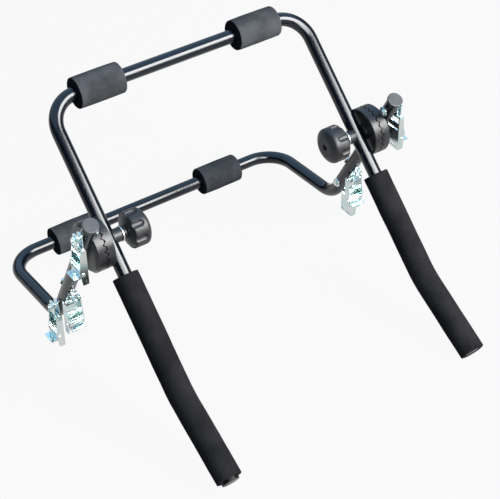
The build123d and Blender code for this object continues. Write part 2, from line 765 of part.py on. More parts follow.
def buckle_fasteners():
    """Bolt, washer and nut of each bracket; the bolt's head is on the far side of the tube."""
    head_z = -TUBE_D - SEAT_GAP - WASHER_T
    nut_z = HANGER_Z + FOLD_R + SEAT_GAP
    with BuildPart() as bolt:
        with BuildSketch(Plane.XY.offset(head_z)):
            Circle(BUCKLE_BOLT_D / 2)
        extrude(amount=nut_z + NUT_T + THREAD_SHOWS - head_z)
        with BuildSketch(Plane.XY.offset(head_z)):
            RegularPolygon(BUCKLE_NUT_ACROSS / 2, 6, major_radius=False)
        extrude(amount=-BUCKLE_HEAD_T)
    on_every_bracket(bolt.part, "buckle_bolts")
    with BuildPart() as washer:
        with BuildSketch(Plane.XY.offset(head_z)):
            Circle(WASHER_D / 2)
            Circle(BUCKLE_BOLT_D / 2 + BOLT_GAP, mode=Mode.SUBTRACT)
        extrude(amount=WASHER_T)
    on_every_bracket(washer.part, "buckle_washers")
    with BuildPart() as nut:
        with BuildSketch(Plane.XY.offset(nut_z)):
            RegularPolygon(BUCKLE_NUT_ACROSS / 2, 6, major_radius=False)
            Circle(BUCKLE_BOLT_D / 2 + PIN_GAP, mode=Mode.SUBTRACT)
        extrude(amount=NUT_T)
    on_every_bracket(nut.part, "buckle_nuts")


upper_frame_tube()
lower_frame_tube()
save_pair(bar_pad(UPPER_PAD_X, (-LEG_REACH, 0)), "upper_pad")
save_pair(bar_pad(LOWER_PAD_X, BAR_UV), "lower_pad")
save(arm_sleeve(SLEEVE_START["right"], ARM_TIP["right"]), "right_arm_sleeve")
with BuildPart() as left_sleeve:
    mirror(arm_sleeve(SLEEVE_START["left"]), about=Plane.YZ)
save(left_sleeve.part, "left_arm_sleeve")
arm_cap("right", 1)
arm_cap("left", -1)
save_pair(end_cap(rack_point(LOWER_HALF, STUB_UV), LIMB_DIR * -1, STUB_CAP_D, STUB_CAP_HEAD), "stub_cap")
inner_ratchet()
outer_ratchet()
hub_bolt()
hub_bush()
hub_washer()
hand_knob()
knob_insert()
cam_buckles()
buckle_fasteners()
print("leg slope", round(math.degrees(TILT), 2), "hub height", round(HUB_Z, 2), "hub y", round(HUB_Y, 2))
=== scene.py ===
"""Looks of a folding strap-on bike carrier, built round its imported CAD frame."""

import json
import logging
import math
from dataclasses import dataclass, field
from enum import Enum

import bpy
from mathutils import Matrix, Vector

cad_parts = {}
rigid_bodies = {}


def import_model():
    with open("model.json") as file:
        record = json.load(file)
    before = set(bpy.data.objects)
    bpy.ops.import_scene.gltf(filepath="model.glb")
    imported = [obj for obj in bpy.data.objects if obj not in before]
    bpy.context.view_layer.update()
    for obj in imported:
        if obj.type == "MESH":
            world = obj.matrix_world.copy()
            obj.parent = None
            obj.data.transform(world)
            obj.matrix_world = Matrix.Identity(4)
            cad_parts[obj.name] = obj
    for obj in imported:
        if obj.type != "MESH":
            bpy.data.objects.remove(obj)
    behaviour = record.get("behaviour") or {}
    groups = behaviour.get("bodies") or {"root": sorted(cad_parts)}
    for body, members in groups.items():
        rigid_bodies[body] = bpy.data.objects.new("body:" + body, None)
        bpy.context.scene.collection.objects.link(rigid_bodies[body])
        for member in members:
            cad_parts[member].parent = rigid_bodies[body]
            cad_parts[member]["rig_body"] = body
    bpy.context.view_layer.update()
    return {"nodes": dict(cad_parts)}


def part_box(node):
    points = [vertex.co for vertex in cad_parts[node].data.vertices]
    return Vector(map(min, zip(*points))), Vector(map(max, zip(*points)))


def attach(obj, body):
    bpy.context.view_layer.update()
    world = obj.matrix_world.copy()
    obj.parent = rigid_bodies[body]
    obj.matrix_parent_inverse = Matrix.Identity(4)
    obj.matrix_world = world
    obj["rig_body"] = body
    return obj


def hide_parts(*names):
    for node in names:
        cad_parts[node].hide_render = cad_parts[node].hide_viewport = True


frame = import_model()
LOG = logging.getLogger("rack")

Colour = tuple[float, float, float]
Stretch = tuple[float, float, float]

WHITE: Colour = (1.0, 1.0, 1.0)
X_AXIS = Vector((1.0, 0.0, 0.0))

# Sizes shared with the part's source, in metres and degrees
TUBE_R = 0.0125
UPPER_HALF = 0.259
HUB = Vector((0.0, 0.003880, 0.284814))
LEG_SLOPE = 41.7199
ARM_REACH = 0.2845
ARM_BEND = 14.0
ARM_BEND_R = 0.150
SLEEVE_R = 0.023
SLEEVE_TIP = 0.1615

# Play between a foam's bore and its tube, and how near two points are merged
FOAM_GAP = 0.0001
MERGE_REACH = 0.00001

# Numbers of the Mix node's colour sockets, whose names its other sockets share
MIX_SHARE = 0
MIX_FIRST = 6
MIX_SECOND = 7
MIX_RESULT = 2


class Side(Enum):
    """Which side of the middle plane a piece is on."""

    RIGHT = 1
    LEFT = -1

    @property
    def word(self) -> str:
        """Name of the side as the CAD nodes spell it."""
        return self.name.lower()


class Value:
    """Output socket of a shader node that Python's operators can be used on."""

    def __init__(self, graph: "Graph", socket: bpy.types.NodeSocket) -> None:
        """Keeps the graph and the socket."""
        self.graph = graph
        self.socket = socket

    def combine(self, operation: str, left: object, right: object) -> "Value":
        """Adds one Math node.

        Args:
            operation: Blender's name of the operation.
            left: First value, a number or a Value.
            right: Second value, a number or a Value.

        Returns:
            The node's output.
        """
        return self.graph.node("ShaderNodeMath", {"operation": operation}, {0: left, 1: right})

    def __add__(self, other: object) -> "Value":
        """self + other."""
        return self.combine("ADD", self, other)

    def __radd__(self, other: object) -> "Value":
        """other + self."""
        return self.combine("ADD", other, self)

    def __sub__(self, other: object) -> "Value":
        """self - other."""
        return self.combine("SUBTRACT", self, other)

    def __rsub__(self, other: object) -> "Value":
        """other - self."""
        return self.combine("SUBTRACT", other, self)

    def __mul__(self, other: object) -> "Value":
        """self * other."""
        return self.combine("MULTIPLY", self, other)

    def __rmul__(self, other: object) -> "Value":
        """other * self."""
        return self.combine("MULTIPLY", other, self)


@dataclass(frozen=True)
class Patches:
    """Soft-edged patches cut out of noise.

    They start where the noise passes low and are full where it passes high.
    """

    size: float
    detail: float
    low: float
    high: float
    stretch: Stretch | None = None


class Graph:
    """Node tree of one new material, with its Principled shader."""

    def __init__(self, name: str) -> None:
        """Makes the material.

        Args:
            name: Name of the material.
        """
        self.material = bpy.data.materials.new(name)
        self.material.use_nodes = True
        self.tree = self.material.node_tree
        self.shader = self.tree.nodes["Principled BSDF"]

    def node(
        self,
        kind: str,
        settings: dict[str, object],
        inputs: dict[int | str, object],
        output: int | str = 0,
    ) -> Value:
        """Adds any node.

        Args:
            kind: Blender's type name of the node.
            settings: Properties set before the inputs.
            inputs: Socket name or number to a number, colour or Value.
            output: Name or number of the output that is wanted.

        Returns:
            The wanted output.
        """
        made = self.tree.nodes.new(kind)
        for key, setting in settings.items():
            setattr(made, key, setting)
        for key, given in inputs.items():
            self.feed(made.inputs[key], given)
        return Value(self, made.outputs[output])

    def feed(self, socket: bpy.types.NodeSocket, given: object) -> None:
        """Links a Value to a socket, or sets the socket's own number or colour.

        Args:
            socket: The socket.
            given: A Value, number, colour or vector.
        """
        if isinstance(given, Value):
            self.tree.links.new(given.socket, socket)
        elif isinstance(given, tuple) and socket.type == "RGBA":
            socket.default_value = (*given, 1.0)
        else:
            socket.default_value = given

    def shade(self, **sockets: object) -> None:
        """Sets or links the Principled shader's sockets; underscores stand for spaces."""
        for key, given in sockets.items():
            self.feed(self.shader.inputs[key.replace("_", " ")], given)

    def place(self) -> Value:
        """Object coordinates of the surface, in metres."""
        return self.node("ShaderNodeTexCoord", {}, {}, "Object")

    def noise(self, size: float, detail: float, stretch: Stretch | None = None) -> Value:
        """Noise from 0 to 1.

        Args:
            size: Width of its largest features, in metres.
            detail: Number of finer layers.
            stretch: How many times longer they are along X, Y and Z.

        Returns:
            The noise.
        """
        where = self.place()
        if stretch:
            scale = tuple(1.0 / times for times in stretch)
            where = self.node("ShaderNodeMapping", {}, {"Vector": where, "Scale": scale})
        inputs = {"Vector": where, "Scale": 1.0 / size, "Detail": detail}
        return self.node("ShaderNodeTexNoise", {}, inputs)

    def cells(self, size: float) -> Value:
        """Distance to the middle of each cell of a fine foam, from 0 to about 1."""
        inputs = {"Vector": self.place(), "Scale": 1.0 / size}
        return self.node("ShaderNodeTexVoronoi", {}, inputs, "Distance")

    def between(self, value: Value, low: float, high: float) -> Value:
        """Smooth step of a value.

        Args:
            value: The value.
            low: Where the result is 0.
            high: Where the result is 1.

        Returns:
            The smoothed share.
        """
        inputs = {"Value": value, "From Min": low, "From Max": high}
        return self.node("ShaderNodeMapRange", {"interpolation_type": "SMOOTHSTEP"}, inputs)

    def patches(self, kind: Patches) -> Value:
        """Mask of patches: 0 beside them, 1 in their middles."""
        return self.between(self.noise(kind.size, kind.detail, kind.stretch), kind.low, kind.high)

    def end_face(self, low: float, high: float) -> Value:
        """Mask of flat ends that face along X.

        Args:
            low: Squared share of the normal along X at which the mask starts.
            high: Squared share at which it is full.

        Returns:
            The mask, 0 on round skins about X.
        """
        normal = self.node("ShaderNodeTexCoord", {}, {}, "Normal")
        along = self.node("ShaderNodeSeparateXYZ", {}, {"Vector": normal}, "X")
        return self.between(along * along, low, high)

    def colour(self, mask: Value, low: Colour | Value, high: Colour | Value) -> Value:
        """Mixes two colours.

        Args:
            mask: Share of the second colour.
            low: First colour.
            high: Second colour.

        Returns:
            The mixed colour.
        """
        inputs = {MIX_SHARE: mask, MIX_FIRST: low, MIX_SECOND: high}
        return self.node("ShaderNodeMix", {"data_type": "RGBA"}, inputs, MIX_RESULT)

    def bump(self, height: Value, depth: float) -> None:
        """Roughens the surface.

        Args:
            height: Height from 0 to 1.
            depth: Real depth of that height, in metres.
        """
        inputs = {"Height": height, "Distance": depth, "Strength": 1.0}
        self.shade(Normal=self.node("ShaderNodeBump", {}, inputs))

    def ray(self, question: str) -> Value:
        """1 for the light rays of one kind, such as Is Camera Ray, and 0 for others."""
        return self.node("ShaderNodeLightPath", {}, {}, question)


@dataclass(frozen=True)
class GlossPaint:
    """Stoved black paint on tube: orange peel, faint dust tinted sky blue as a painted sky reflection,
    a few dull rubs.
    """

    black: Colour = (0.003, 0.006, 0.013)
    # The dust colour is real dust tinted sky blue, a painted reflection of the sky on the tube tops
    dust: Colour = (0.016, 0.021, 0.032)
    roughness: float = 0.18
    specular: float = 0.36
    film: Patches = Patches(size=0.045, detail=5.0, low=0.52, high=0.82)
    film_dust: float = 0.35
    specks: Patches = Patches(size=0.0016, detail=2.0, low=0.66, high=0.78)
    speck_dust: float = 0.25
    speck_dull: float = 0.1
    rubs: Patches = Patches(size=0.018, detail=4.0, low=0.56, high=0.74, stretch=(1.0, 3.0, 3.0))
    rub_dull: float = 0.08
    peel: float = 0.0060
    peel_detail: float = 1.5
    peel_depth: float = 0.000006

    def make(self, name: str) -> bpy.types.Material:
        """Builds the paint.

        Args:
            name: Name of the material.

        Returns:
            The material.
        """
        graph = Graph(name)
        specks = graph.patches(self.specks)
        # Patches and specks of dust, whose sky-blue tint is painted reflection
        dust_and_sky_share = graph.patches(self.film) * self.film_dust + specks * self.speck_dust
        rubbed = graph.patches(self.rubs) * self.rub_dull
        graph.shade(
            Base_Color=graph.colour(dust_and_sky_share, self.black, self.dust),
            Roughness=self.roughness + rubbed + specks * self.speck_dull,
            Specular_IOR_Level=self.specular,
        )
        graph.bump(graph.noise(self.peel, self.peel_detail), self.peel_depth)
        return graph.material


@dataclass(frozen=True)
class ClosedFoam:
    """Closed-cell foam: matt skin of fine pores, a little sheen, and painted shade that darkens its
    flat ends.
    """

    dark: Colour
    light: Colour
    # Share of painted shade on the flat ends, and the squared share of the normal along X where it
    # starts and where it is full
    cut: float = 0.0
    cut_low: float = 0.5
    cut_high: float = 0.9
    roughness: float = 0.78
    sheen: float = 0.02
    sheen_roughness: float = 0.45
    cell: float = 0.0011
    cell_low: float = 0.05
    cell_high: float = 0.60
    cell_pale: float = 0.45
    cell_height: float = 0.7
    cell_depth: float = 0.00010
    lump: float = 0.0035
    lump_detail: float = 3.0
    lump_pale: float = 0.20
    lump_dull: float = 0.14
    lump_height: float = 0.6
    clouds: Patches = Patches(size=0.05, detail=3.0, low=0.35, high=0.70)
    cloud_pale: float = 0.35

    def make(self, name: str) -> bpy.types.Material:
        """Builds the foam.

        Args:
            name: Name of the material.

        Returns:
            The material.
        """
        graph = Graph(name)
        pores = graph.between(graph.cells(self.cell), self.cell_low, self.cell_high)
        lumps = graph.noise(self.lump, self.lump_detail)
        clouds = graph.patches(self.clouds)
        # Painted shade: the flat ends that face along X are darkened
        end_unshaded = 1 - graph.end_face(self.cut_low, self.cut_high) * self.cut
        skin = pores * self.cell_pale + clouds * self.cloud_pale + lumps * self.lump_pale
        graph.shade(
            Base_Color=graph.colour(skin * end_unshaded, self.dark, self.light),
            Roughness=self.roughness + lumps * self.lump_dull,
            Specular_IOR_Level=0.0,
            Sheen_Weight=self.sheen,
            Sheen_Roughness=self.sheen_roughness,
        )
        graph.bump(pores * self.cell_height + lumps * self.lump_height, self.cell_depth)
        return graph.material


@dataclass(frozen=True)
class MouldedPlastic:
    """Black moulded plastic with a fine spark grain, polished a little where it is handled."""

    dark: Colour = (0.012, 0.012, 0.014)
    light: Colour = (0.030, 0.031, 0.034)
    roughness: float = 0.36
    specular: float = 0.34
    grain: float = 0.0009
    grain_detail: float = 2.0
    grain_pale: float = 0.3
    grain_depth: float = 0.00002
    clouds: Patches = Patches(size=0.02, detail=4.0, low=0.35, high=0.75)
    cloud_pale: float = 0.6
    cloud_dull: float = 0.10
    handled: Patches = Patches(size=0.007, detail=4.0, low=0.55, high=0.80)
    handled_polish: float = 0.06

    def make(self, name: str) -> bpy.types.Material:
        """Builds the plastic.

        Args:
            name: Name of the material.

        Returns:
            The material.
        """
        graph = Graph(name)
        grain = graph.noise(self.grain, self.grain_detail)
        clouds = graph.patches(self.clouds)
        polish = graph.patches(self.handled) * self.handled_polish
        pale = clouds * self.cloud_pale + grain * self.grain_pale
        graph.shade(
            Base_Color=graph.colour(pale, self.dark, self.light),
            Roughness=self.roughness + clouds * self.cloud_dull - polish,
            Specular_IOR_Level=self.specular,
        )
        graph.bump(grain, self.grain_depth)
        return graph.material


@dataclass(frozen=True)
class ZincPlate:
    """Bright zinc plating on pressed steel: cloudy, blue and straw tints, scratches."""

    bright: Colour = (0.60, 0.64, 0.63)
    blue: Colour = (0.40, 0.60, 0.60)
    straw: Colour = (0.64, 0.63, 0.57)
    roughness: float = 0.10
    cool: Patches = Patches(size=0.016, detail=3.0, low=0.42, high=0.62)
    cool_share: float = 0.7
    warm: Patches = Patches(size=0.011, detail=2.0, low=0.60, high=0.78)
    warm_share: float = 0.6
    stains: Patches = Patches(size=0.006, detail=5.0, low=0.52, high=0.80)
    stain_dull: float = 0.22
    scratch: float = 0.0014
    scratch_detail: float = 3.0
    scratch_stretch: Stretch = (1.0, 1.0, 14.0)
    scratch_dull: float = 0.12
    scratch_height: float = 0.6
    ripple: float = 0.0040
    ripple_detail: float = 2.0
    ripple_height: float = 0.8
    depth: float = 0.00005

    def make(self, name: str) -> bpy.types.Material:
        """Builds the plating.

        Args:
            name: Name of the material.

        Returns:
            The material.
        """
        graph = Graph(name)
        scratches = graph.noise(self.scratch, self.scratch_detail, self.scratch_stretch)
        ripples = graph.noise(self.ripple, self.ripple_detail)
        stained = graph.patches(self.stains) * self.stain_dull
        cool = graph.colour(graph.patches(self.cool) * self.cool_share, self.bright, self.blue)
        graph.shade(
            Base_Color=graph.colour(graph.patches(self.warm) * self.warm_share, cool, self.straw),
            Metallic=1.0,
            Roughness=self.roughness + stained + scratches * self.scratch_dull,
        )
        graph.bump(scratches * self.scratch_height + ripples * self.ripple_height, self.depth)
        return graph.material


@dataclass(frozen=True)
class BareSteel:
    """Drawn or turned steel: darker than the plating, with a fine grain."""

    bright: Colour
    dull: Colour = (0.36, 0.35, 0.34)
    roughness: float = 0.28
    stains: Patches = Patches(size=0.003, detail=5.0, low=0.45, high=0.75)
    stain_dull: float = 0.15
    grain: float = 0.0005
    grain_detail: float = 2.0
    grain_dull: float = 0.08
    grain_depth: float = 0.000006

    def make(self, name: str) -> bpy.types.Material:
        """Builds the steel.

        Args:
            name: Name of the material.

        Returns:
            The material.
        """
        graph = Graph(name)
        stains = graph.patches(self.stains)
        grain = graph.noise(self.grain, self.grain_detail)
        graph.shade(
            Base_Color=graph.colour(stains, self.bright, self.dull),
            Metallic=1.0,
            Roughness=self.roughness + stains * self.stain_dull + grain * self.grain_dull,
        )
        graph.bump(grain, self.grain_depth)
        return graph.material


class Finish(Enum):
    """Every finish on the object, each made once."""

    PAINT = GlossPaint()
    # The pads' foam gets painted shade on its flat ends
    PAD_FOAM = ClosedFoam(dark=(0.012, 0.013, 0.015), light=(0.150, 0.158, 0.170), cut=0.9)
    SLEEVE_FOAM = ClosedFoam(dark=(0.007, 0.007, 0.008), light=(0.044, 0.043, 0.047))
    HUB_PLASTIC = MouldedPlastic()
    KNOB_PLASTIC = MouldedPlastic(dark=(0.014, 0.014, 0.016), roughness=0.42)
    CAP_GREY = MouldedPlastic(
        dark=(0.035, 0.036, 0.040),
        light=(0.060, 0.062, 0.068),
        roughness=0.46,
        specular=0.5,
    )
    CAP_GLOSS = MouldedPlastic(
        dark=(0.003, 0.003, 0.004),
        light=(0.008, 0.008, 0.010),
        roughness=0.30,
        specular=0.12,
    )
    ZINC_SHEET = ZincPlate()
    ZINC_FASTENER = ZincPlate(roughness=0.26, scratch=0.0008)
    HUB_STEEL = BareSteel(bright=(0.78, 0.78, 0.77))
    SPRING = BareSteel(bright=(0.50, 0.49, 0.47), roughness=0.34)

    def material(self) -> bpy.types.Material:
        """Makes the material the first time that it is asked for.

        Its name ends in _finish, because the CAD's own materials have the plain names.

        Returns:
            The material.
        """
        name = f"{self.name.lower()}_finish"
        found = bpy.data.materials.get(name)
        return found or self.value.make(name)


class Bench:
    """Steps shared by all modelled pieces, each one of Blender's own operators."""

    @staticmethod
    def clear() -> None:
        """Leaves nothing selected."""
        if bpy.context.object and bpy.context.object.mode != "OBJECT":
            bpy.ops.object.mode_set(mode="OBJECT")
        bpy.ops.object.select_all(action="DESELECT")

    @staticmethod
    def hold(piece: bpy.types.Object) -> None:
        """Makes one piece the selected and active object.

        Args:
            piece: The piece.
        """
        Bench.clear()
        piece.select_set(True)
        bpy.context.view_layer.objects.active = piece

    @staticmethod
    def ring(name: str, centre: Vector, axis: Vector, radius: float, sides: int) -> bpy.types.Object:
        """Adds an open circle and leaves it in edit mode, all selected.

        Args:
            name: Name of the new piece.
            centre: Middle of the circle.
            axis: Direction that the circle faces.
            radius: Radius, in metres.
            sides: Number of corners.

        Returns:
            The piece.
        """
        Bench.clear()
        turn = axis.to_track_quat("Z", "Y").to_euler()
        bpy.ops.mesh.primitive_circle_add(vertices=sides, radius=radius, location=centre, rotation=turn)
        piece = bpy.context.object
        piece.name = name
        piece.data.name = name
        bpy.ops.object.mode_set(mode="EDIT")
        bpy.ops.mesh.select_all(action="SELECT")
        return piece

    @staticmethod
    def run(direction: Vector, length: float, steps: int) -> None:
        """Extrudes the selected edges straight on, in equal steps.

        Args:
            direction: Direction, one metre long.
            length: Length of the run, in metres.
            steps: Number of steps.
        """
        step = direction * (length / steps)
        for _ in range(steps):
            bpy.ops.mesh.extrude_region_move(TRANSFORM_OT_translate={"value": step})

    @staticmethod
    def close_outward(piece: bpy.types.Object) -> None:
        """Merges doubles, points all faces outward and brings the object to the origin.

        Args:
            piece: The piece, in edit mode.
        """
        bpy.ops.mesh.select_all(action="SELECT")
        bpy.ops.mesh.remove_doubles(threshold=MERGE_REACH)
        bpy.ops.mesh.normals_make_consistent(inside=False)
        bpy.ops.object.mode_set(mode="OBJECT")
        Bench.hold(piece)
        bpy.ops.object.transform_apply(location=True, rotation=True, scale=True)

    @staticmethod
    def modify(piece: bpy.types.Object, kind: str, **settings: object) -> None:
        """Adds one modifier and applies it.

        Args:
            piece: The piece.
            kind: Blender's type name of the modifier.
            settings: The modifier's properties.
        """
        Bench.hold(piece)
        modifier = piece.modifiers.new(kind.lower(), kind)
        for key, setting in settings.items():
            setattr(modifier, key, setting)
        bpy.ops.object.modifier_apply(modifier=modifier.name)

    @staticmethod
    def smooth(piece: bpy.types.Object, crease: float) -> None:
        """Shades the piece smooth, with creases sharper than an angle in degrees kept."""
        Bench.hold(piece)
        bpy.ops.object.shade_smooth_by_angle(angle=math.radians(crease))

    @staticmethod
    def settle(piece: bpy.types.Object, node: str, finish: Finish) -> None:
        """Puts a finished piece in the place of its CAD node.

        Args:
            piece: The piece, in place.
            node: CAD node that it stands for, whose body it rides on.
            finish: Finish that it is dressed in.
        """
        cad = frame["nodes"][node]
        piece.data.materials.clear()
        piece.data.materials.append(finish.material())
        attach(piece, cad["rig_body"])
        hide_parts(node)
        LOG.info("%s modelled in place of %s, in %s", piece.name, node, finish.name)


def dress(node: str, finish: Finish) -> None:
    """Gives a CAD node a finish through its material slots.

    Args:
        node: The CAD node, whose shape is kept.
        finish: Finish that it is dressed in.
    """
    for slot in frame["nodes"][node].material_slots:
        slot.material = finish.material()
    LOG.info("%s dressed in %s", node, finish.name)


@dataclass(frozen=True)
class Waver:
    """Unevenness of a foam skin: width of its waves, their height and where they are level."""

    size: float
    height: float
    level: float

    def apply(self, piece: bpy.types.Object) -> None:
        """Lets the points of the group named skin waver, and keeps all above the floor.

        Args:
            piece: The foam piece.
        """
        clouds = bpy.data.textures.new(f"{piece.name}_waver", "CLOUDS")
        clouds.noise_scale = self.size
        Bench.modify(
            piece,
            "DISPLACE",
            texture=clouds,
            strength=self.height,
            mid_level=self.level,
            vertex_group="skin",
            texture_coords="LOCAL",
        )
        for vertex in piece.data.vertices:
            vertex.co.z = max(vertex.co.z, 0.0)


@dataclass
class FrameTubes:
    """The two bent frame tubes, painted."""

    nodes: tuple[str, str] = ("upper_frame_tube", "lower_frame_tube")

    def build(self) -> None:
        """Dresses both tubes; their CAD shape is kept."""
        for node in self.nodes:
            dress(node, Finish.PAINT)


@dataclass
class FoamPads:
    """Foam cylinders on the two bars, slightly crowned, their rims rounded."""

    bars: tuple[str, str] = ("upper", "lower")
    sides: int = 96
    rings: int = 28
    edge: float = 0.0012
    edge_steps: int = 4
    crown: float = 0.0005
    waver: Waver = Waver(size=0.030, height=0.0008, level=0.55)
    crease: float = 60.0
    fill: float = 0.9

    def build(self) -> None:
        """Models the four pads."""
        for side in Side:
            for bar in self.bars:
                self.pad(f"{side.word}_{bar}_pad")

    def pad(self, node: str) -> None:
        """Models one pad in the space of its CAD solid.

        Args:
            node: CAD node of the pad.
        """
        low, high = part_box(node)
        middle = (low + high) / 2
        radius = (high.z - low.z) / 2 - self.crown / 2
        length = high.x - low.x
        start = Vector((low.x, middle.y, middle.z))
        piece = Bench.ring(f"{node}_foam", start, X_AXIS, radius, self.sides)
        Bench.run(X_AXIS, length, self.rings)
        Bench.close_outward(piece)
        wall = radius - TUBE_R - FOAM_GAP
        Bench.modify(piece, "SOLIDIFY", thickness=wall, offset=-1.0, use_even_offset=True)
        self.round_rims(piece, middle, radius, length)
        self.crown_skin(piece, middle, radius, length)
        self.waver.apply(piece)
        Bench.smooth(piece, self.crease)
        Bench.settle(piece, node, Finish.PAD_FOAM)

    def round_rims(self, piece: bpy.types.Object, middle: Vector, radius: float, length: float) -> None:
        """Rounds the outer rim of both ends.

        Args:
            piece: The pad.
            middle: Middle of the pad.
            radius: Radius of its skin.
            length: Its length.
        """
        rims = piece.vertex_groups.new(name="rims")
        for vertex in piece.data.vertices:
            off = vertex.co - middle
            at_end = abs(off.x) > length / 2 - FOAM_GAP
            if at_end and math.hypot(off.y, off.z) > radius - FOAM_GAP:
                rims.add([vertex.index], 1.0, "REPLACE")
        Bench.modify(
            piece,
            "BEVEL",
            width=self.edge,
            segments=self.edge_steps,
            limit_method="VGROUP",
            vertex_group="rims",
        )

    def crown_skin(self, piece: bpy.types.Object, middle: Vector, radius: float, length: float) -> None:
        """Crowns the pad, and groups its points as skin, by how far from the tube they are.

        Args:
            piece: The pad.
            middle: Middle of the pad.
            radius: Radius of its skin.
            length: Its length.
        """
        skin = piece.vertex_groups.new(name="skin")
        for vertex in piece.data.vertices:
            off = vertex.co - middle
            away = math.hypot(off.y, off.z)
            share = max(0.0, (away - TUBE_R) / (radius - TUBE_R))
            lift = self.crown * share * math.cos(math.pi * off.x / length)
            vertex.co += Vector((0, off.y, off.z)) * (lift / away)
            skin.add([vertex.index], share, "REPLACE")


@dataclass
class ArmSleeves:
    """Long foam sleeves that follow the arms round their bend, with clean-cut ends.

    Each starts at its own distance from the hub axis, and both end at the same one.
    """

    starts: dict[Side, float] = field(default_factory=lambda: {Side.RIGHT: 0.080, Side.LEFT: 0.067})
    sides: int = 80
    step: float = 0.004
    bend_steps: int = 14
    edge: float = 0.0014
    edge_steps: int = 3
    edge_angle: float = 50.0
    waver: Waver = Waver(size=0.045, height=0.0011, level=0.5)
    crease: float = 60.0
    fill: float = 0.9

    def build(self) -> None:
        """Models both sleeves."""
        for side in Side:
            self.sleeve(side)

    def sleeve(self, side: Side) -> None:
        """Models one sleeve: straight, round the bend, straight to its tip.

        Args:
            side: The arm's side.
        """
        slope = math.radians(LEG_SLOPE)
        below = slope - math.radians(ARM_BEND)
        leg = Vector((0, -math.cos(slope), -math.sin(slope)))
        arm = Vector((0, -math.cos(below), -math.sin(below)))
        above = Vector((0, -math.sin(slope), math.cos(slope)))
        tangent = ARM_BEND_R * math.tan(math.radians(ARM_BEND) / 2)
        hub = HUB + X_AXIS * (side.value * UPPER_HALF)
        start = self.starts[side]
        first = ARM_REACH - tangent - start
        last = SLEEVE_TIP - tangent
        turn_centre = hub + leg * (ARM_REACH - tangent) + above * ARM_BEND_R
        node = f"{side.word}_arm_sleeve"
        piece = Bench.ring(f"{node}_foam", hub + leg * start, leg, SLEEVE_R, self.sides)
        Bench.run(leg, first, round(first / self.step))
        bpy.ops.mesh.spin(
            steps=self.bend_steps,
            angle=math.radians(ARM_BEND),
            center=turn_centre,
            axis=X_AXIS,
        )
        Bench.run(arm, last, round(last / self.step))
        Bench.close_outward(piece)
        wall = SLEEVE_R - TUBE_R - FOAM_GAP
        Bench.modify(piece, "SOLIDIFY", thickness=wall, offset=-1.0, use_even_offset=True)
        Bench.modify(
            piece,
            "BEVEL",
            width=self.edge,
            segments=self.edge_steps,
            limit_method="ANGLE",
            angle_limit=math.radians(self.edge_angle),
        )
        self.group_skin(piece, hub + leg * ARM_REACH, leg, arm)
        self.waver.apply(piece)
        Bench.smooth(piece, self.crease)
        Bench.settle(piece, node, Finish.SLEEVE_FOAM)

    @staticmethod
    def group_skin(piece: bpy.types.Object, corner: Vector, leg: Vector, arm: Vector) -> None:
        """Groups the sleeve's points as skin, by how far from the tube they are.

        Args:
            piece: The sleeve.
            corner: Corner of the arm's route, where its two straight lines meet.
            leg: Direction of the leg.
            arm: Direction of the arm past its bend.
        """
        skin = piece.vertex_groups.new(name="skin")
        for vertex in piece.data.vertices:
            off = vertex.co - corner
            direction = arm if off.dot(leg + arm) > 0 else leg
            away = (off - direction * off.dot(direction)).length
            share = max(0.0, (away - TUBE_R) / (SLEEVE_R - TUBE_R))
            skin.add([vertex.index], min(1.0, share), "REPLACE")


@dataclass
class EndCaps:
    """Plastic caps in the ends of the stubs and the arms."""

    stub_finish: Finish = Finish.CAP_GREY
    arm_finish: Finish = Finish.CAP_GLOSS

    def build(self) -> None:
        """Dresses the caps; their CAD shape is kept."""
        for side in Side:
            dress(f"{side.word}_stub_cap", self.stub_finish)
            dress(f"{side.word}_arm_cap", self.arm_finish)


@dataclass
class Hubs:
    """Toothed hub halves with their bolt, bush and washer; the bush is of the knob's plastic."""

    halves: tuple[str, str] = ("inner_ratchet", "outer_ratchet")
    steel_parts: tuple[str, str] = ("hub_washer", "hub_bolt")

    def build(self) -> None:
        """Dresses both hubs; their CAD shape is kept."""
        for side in Side:
            for half in self.halves:
                dress(f"{side.word}_{half}", Finish.HUB_PLASTIC)
            dress(f"{side.word}_hub_bush", Finish.KNOB_PLASTIC)
            for part in self.steel_parts:
                dress(f"{side.word}_{part}", Finish.HUB_STEEL)


@dataclass
class Knobs:
    """Fluted hand knobs with their threaded inserts."""

    knob_finish: Finish = Finish.KNOB_PLASTIC
    insert_finish: Finish = Finish.HUB_STEEL

    def build(self) -> None:
        """Dresses both knobs; their CAD shape is kept."""
        for side in Side:
            dress(f"{side.word}_hand_knob", self.knob_finish)
            dress(f"{side.word}_knob_insert", self.insert_finish)


@dataclass
class Buckles:
    """Cam buckles and the bolts that hold them."""

    places: tuple[str, str, str] = ("top", "back", "foot")
    pressed_parts: tuple[str, str, str] = ("bracket", "frame", "cam_lever")
    fasteners: tuple[str, str, str] = ("buckle_bolts", "buckle_washers", "buckle_nuts")

    def build(self) -> None:
        """Dresses the six buckles and their fasteners; their CAD shape is kept."""
        for side in Side:
            for place in self.places:
                self.buckle(f"{side.word}_{place}_buckle")
        for node in self.fasteners:
            dress(node, Finish.ZINC_FASTENER)

    def buckle(self, stem: str) -> None:
        """Dresses one buckle.

        Args:
            stem: What the names of its nodes start with.
        """
        for part in self.pressed_parts:
            dress(f"{stem}_{part}", Finish.ZINC_SHEET)
        dress(f"{stem}_pins", Finish.ZINC_FASTENER)
        dress(f"{stem}_cam_spring", Finish.SPRING)


class Seen(Enum):
    """What a lamp shows in: all light, matt surfaces only, or reflections only."""

    ALL = "all"
    MATT = "matt"
    GLOSS = "gloss"


